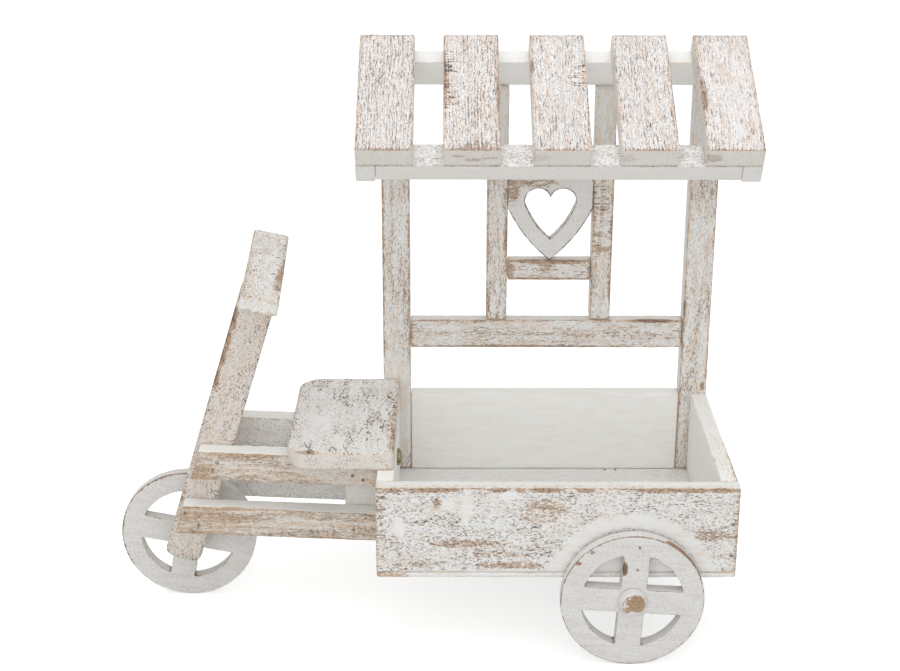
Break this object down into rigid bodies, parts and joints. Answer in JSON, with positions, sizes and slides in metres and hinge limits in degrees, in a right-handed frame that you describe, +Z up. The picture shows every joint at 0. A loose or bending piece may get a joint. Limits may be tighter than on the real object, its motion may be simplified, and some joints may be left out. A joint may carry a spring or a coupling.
{
  "type": "tricycle planter",
  "caption": "Distressed whitewashed wooden cargo tricycle planter: open planting box under a slatted roof with a heart, seat board, fork and handlebar, on spoked wooden wheels.",
  "frame": {"origin": "on the ground, under the middle of the whole tricycle's bounding box", "axes": "+X from the front wheel towards the planting box, +Y from the box's open side to the posts at the back, +Z up"},
  "size_m": [0.5484, 0.2672, 0.4915],
  "materials": {
    "whitewash_box": "whitewashed planed pine, sanded back to bare wood in streaks and along the edges",
    "whitewash_posts": "whitewashed pine with the grain showing upright",
    "whitewash_slats": "wire-brushed whitewashed pine slats",
    "whitewash_fork": "whitewashed pine with dark specks",
    "worn_rails": "thin whitewash worn to tan pine",
    "whitewash_wheels": "smooth pale grey painted plywood, worn brown at the rim",
    "steel": "zinc plated",
    "bolt_brass": "yellow zinc plated, dulled",
    "nail_heads": "steel nail heads, mostly painted over"
  },
  "bodies": {
    "frame": {"box_floor": "whitewash_box", "box_front_wall": "whitewash_box", "box_back_wall": "whitewash_box", "box_left_wall": "whitewash_box", "box_right_wall": "whitewash_box", "left_post": "whitewash_posts", "right_post": "whitewash_posts", "cross_rail": "whitewash_posts", "heart_left_upright": "whitewash_posts", "heart_right_upright": "whitewash_posts", "heart_crossbar": "whitewash_posts", "heart_plaque": "whitewash_posts", "roof_back_rail": "whitewash_posts", "roof_front_rail": "whitewash_posts", "roof_left_side_rail": "whitewash_posts", "roof_right_side_rail": "whitewash_posts", "roof_slat_1": "whitewash_slats", "roof_slat_2": "whitewash_slats", "roof_slat_3": "whitewash_slats", "roof_slat_4": "whitewash_slats", "roof_slat_5": "whitewash_slats", "seat_board": "whitewash_fork", "near_upper_rail": "worn_rails", "near_lower_rail": "worn_rails", "far_upper_rail": "whitewash_fork", "far_lower_rail": "whitewash_fork", "spacer_block": "whitewash_fork", "near_fork_leg": "whitewash_fork", "far_fork_leg": "whitewash_fork", "handlebar": "whitewash_fork", "front_axle": "steel", "front_collars": "steel", "near_axle_block": "whitewash_fork", "far_axle_block": "whitewash_fork", "rear_axle": "steel", "rear_washers": "steel", "near_hub_cap": "whitewash_wheels", "far_hub_cap": "whitewash_wheels", "coach_bolts": "bolt_brass", "bolt_washers": "steel", "bolt_nuts": "steel", "box_nails": "nail_heads", "frame_nails": "nail_heads", "roof_nails": "nail_heads", "seat_nails": "nail_heads", "handlebar_nails": "nail_heads"},
    "front_wheel": {"front_wheel": "whitewash_wheels"},
    "near_rear_wheel": {"near_rear_wheel": "whitewash_wheels"},
    "far_rear_wheel": {"far_rear_wheel": "whitewash_wheels"}
  },
  "joints": [
    {"name": "front_wheel_spin", "type": "hinge", "parent": "frame", "child": "front_wheel", "pos_m": [-0.21425, 0, 0.06], "axis": [0, 1, 0], "continuous": true},
    {"name": "near_rear_wheel_spin", "type": "hinge", "parent": "frame", "child": "near_rear_wheel", "pos_m": [0.17075, -0.11945, 0.06], "axis": [0, 1, 0], "continuous": true},
    {"name": "far_rear_wheel_spin", "type": "hinge", "parent": "frame", "child": "far_rear_wheel", "pos_m": [0.17075, 0.11945, 0.06], "axis": [0, 1, 0], "continuous": true}
  ]
}
